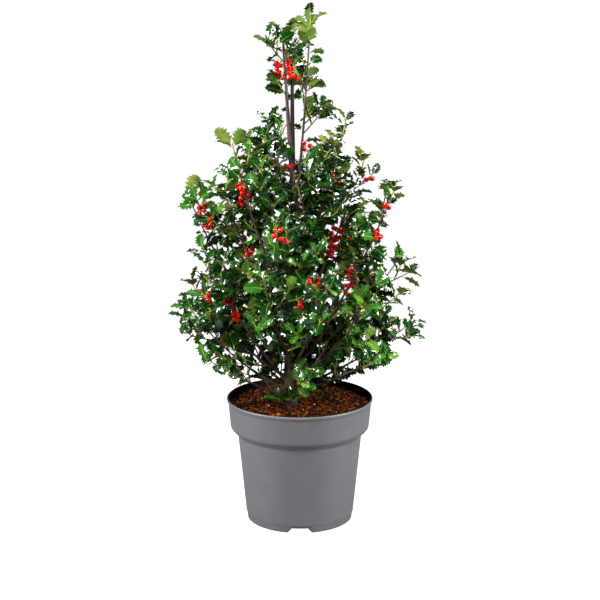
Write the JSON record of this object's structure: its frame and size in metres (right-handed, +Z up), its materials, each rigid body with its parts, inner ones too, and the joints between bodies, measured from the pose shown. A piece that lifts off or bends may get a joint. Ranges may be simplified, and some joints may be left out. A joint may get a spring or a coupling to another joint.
{
  "type": "potted holly shrub",
  "caption": "Young berried holly grown as a cone on a slim trunk with side leaders and boughs, standing in a round plastic nursery pot with a rim band and filled with growing medium.",
  "frame": {"origin": "the middle of the pot's flat underside", "axes": "+Z up along the trunk, -Y towards the front of the crown, +X to its right"},
  "size_m": [0.4603, 0.4483, 0.9875],
  "materials": {
    "pot": "grey moulded plastic, satin, black inside",
    "soil": "coarse composted bark and peat",
    "bark": "smooth olive-brown to purple-grey bark",
    "foliage": "stiff glossy dark green leaves, paler below, with red berries"
  },
  "bodies": {
    "root": {"pot": "pot", "soil": "soil", "trunk": "bark", "bough_low_right": "bark", "bough_right": "bark", "bough_wide_right": "bark", "bough_tall_right": "bark", "bough_upper_right": "bark", "bough_high_right": "bark", "bough_right_leader": "bark", "bough_left_leader": "bark", "bough_upper_left": "bark", "bough_inner_left": "bark", "bough_wide_left": "bark", "bough_tall_left": "bark", "bough_left": "bark", "bough_low_left": "bark", "bough_lowest_left": "bark", "bough_front_left": "bark", "bough_front_right": "bark", "bough_back_low_right": "bark", "bough_back_low": "bark", "bough_back_low_left": "bark", "bough_back_right": "bark", "bough_back_left": "bark", "foliage_low_right": "foliage", "foliage_right": "foliage", "foliage_wide_right": "foliage", "foliage_tall_right": "foliage", "foliage_upper_right": "foliage", "foliage_high_right": "foliage", "foliage_right_leader": "foliage", "foliage_left_leader": "foliage", "foliage_upper_left": "foliage", "foliage_inner_left": "foliage", "foliage_wide_left": "foliage", "foliage_tall_left": "foliage", "foliage_left": "foliage", "foliage_low_left": "foliage", "foliage_lowest_left": "foliage", "foliage_front_left": "foliage", "foliage_front_right": "foliage", "foliage_back_low_right": "foliage", "foliage_back_low": "foliage", "foliage_back_low_left": "foliage", "foliage_back_right": "foliage", "foliage_back_left": "foliage", "foliage_middle_right": "foliage", "foliage_high_left": "foliage", "foliage_upper_left_front": "foliage", "foliage_front": "foliage", "foliage_upper_front": "foliage", "foliage_low_front_right": "foliage", "foliage_sprout": "foliage", "foliage_back_wide_right": "foliage", "foliage_back_upper_right": "foliage", "foliage_back_upper_left": "foliage", "foliage_back_high_right": "foliage", "foliage_back_high_left": "foliage", "foliage_trunk_tip": "foliage"}
  },
  "joints": []
}
